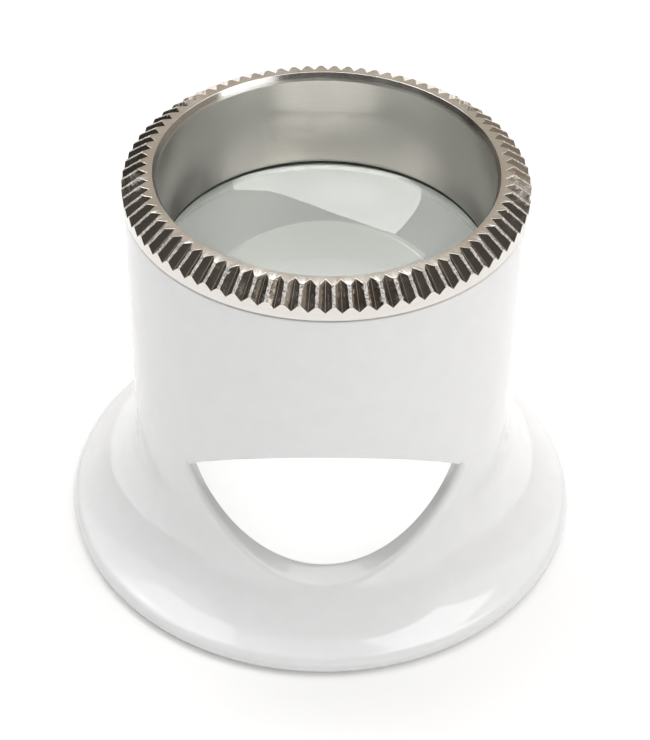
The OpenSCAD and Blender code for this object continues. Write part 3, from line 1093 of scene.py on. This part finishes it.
def panel(name, directions, distance, tint, level, share=1.0, spot=(0, 0), hotter=1.0):
    """A bent sheet that glows, out of the camera's sight, between two edges with as many corners each.

    A ray that has bounced off a matt surface finds share times its level. Round the direction spot it
    is hotter by that factor.
    """
    corners = [(MIDDLE + distance * towards(a, e)) / MM for a, e in directions]
    count = len(corners) // 2
    faces = [(i, i + 1, count + i + 1, count + i) for i in range(count - 1)]
    finish, tree = new_material(name + "_finish")
    bounces = add(tree, "ShaderNodeLightPath").outputs["Diffuse Depth"]
    strength = add(tree, "ShaderNodeMapRange", {
        "Value": bounces, "To Min": level, "To Max": level * share})
    where = add(tree, "ShaderNodeTexCoord").outputs["Object"]
    out = add(tree, "ShaderNodeVectorMath", {0: where, 1: MIDDLE}, operation="SUBTRACT")
    way = add(tree, "ShaderNodeVectorMath", {0: out}, operation="NORMALIZE")
    off = add(tree, "ShaderNodeVectorMath", {0: way, 1: towards(*spot)}, operation="DISTANCE")
    hot = add(tree, "ShaderNodeMapRange", {
        "Value": off.outputs["Value"], "From Max": HOT_REACH, "To Min": hotter, "To Max": 1.0},
        interpolation_type="SMOOTHSTEP")
    strength = add(tree, "ShaderNodeMath", {0: strength, 1: hot}, operation="MULTIPLY")
    glow = add(tree, "ShaderNodeEmission", {"Color": linear(tint), "Strength": strength})
    add(tree, "ShaderNodeOutputMaterial", {"Surface": glow})
    sheet = new_piece(name, [tuple(c) for c in corners], faces, outwards=False)
    sheet.data.materials.append(finish)
    sheet.visible_camera = False
    sheet.visible_transmission = False
    return sheet


# Azimuths, elevations, level, share and tint
for name, start, end, low, high, level, share, tint in (
    ("Front_cloth", -62, 62, 12, 72, 0.085, 3.3, "#fff8f0"),
    ("Right_cloth", 62, 140, -1, 33, 0.3, 1.0, "#fff1de"),
    ("Back_cloth", 140, 220, -1, 45, 0.5, 1.0, "#fff1de"),
    ("Left_cloth", 220, 298, -1, 33, 0.05, 1.0, "#fff4e4"),
):
    steps = [start + (end - start) * i / CLOTH_STEPS for i in range(CLOTH_STEPS + 1)]
    edges = [(a, low) for a in steps] + [(a, high) for a in steps]
    panel(name, edges, CLOTH_DISTANCE, tint, level, share)
    print(name, "spans", end - start, "degrees and looks as bright as", level)

# %% [markdown]
# The glass shows a bright lamp, mirrored in the lens's lower face, and beside it a paler area under the
# faint arc that the ring makes. A softbox and a larger card give these two. The directions of their
# corners come from following rays from the camera through the lens and back up. Only rays through the
# glass see the two sheets, so the steel and the plastic keep their own reflections. Their shares are
# small, because they would otherwise light the inside of the eye cup, which looks grey from above.

# %% Softbox and card for the lens
softbox_edges = [(74, 45), (73, 67), (108, 81), (-166, 79), (-142, 68), (-133, 55)]
softbox_edges += [(62, 34), (40, 38), (15, 40), (-15, 40), (-42, 36), (-69, 38)]
softbox = panel("Lens_softbox", softbox_edges, 0.5, "#ffffff", 10.0, share=0.38,
                spot=(-49, 77), hotter=1.6)
card_edges = [(135, 42), (134, 52), (138, 62), (150, 71), (180, 75)]
card_edges += [(-151, 71), (-137, 63), (-133, 54), (-133, 43)]
card_edges += [(a, 32) for a in (136, 142, 150, 160, 180, -160, -150, -142, -134)]
card = panel("Lens_card", card_edges, 0.55, "#ffffff", 4.0, share=0.1)
for sheet in (softbox, card):
    sheet.visible_diffuse = False
    sheet.visible_glossy = False
    sheet.visible_shadow = False
    sheet.visible_transmission = True
print("two sheets are seen only through the glass")

# %% [markdown]
# ## Camera
# The camera stands where the photograph was taken from: 41 degrees above the table, about 15 cm away,
# with a long lens. It leans by one degree.

# %% Camera
eye = Vector((-2.53, -109.50, 108.05)) * MM
target = Vector((0.146, 0.0, 12.05)) * MM
camera_data = bpy.data.cameras.new("Camera")
camera_data.sensor_width = 36
camera_data.lens = 96.15
camera_data.clip_start = 0.01
camera = new_object("Camera", camera_data)
lean = Matrix.Rotation(math.radians(1.125), 4, "Z")
look = (eye - target).to_track_quat("Z", "Y").to_matrix().to_4x4()
camera.matrix_world = Matrix.Translation(eye) @ look @ lean
bpy.context.scene.camera = camera
bpy.context.scene.view_settings.view_transform = "Standard"
print("camera", round((eye - target).length / MM, 1), "mm from the loupe")
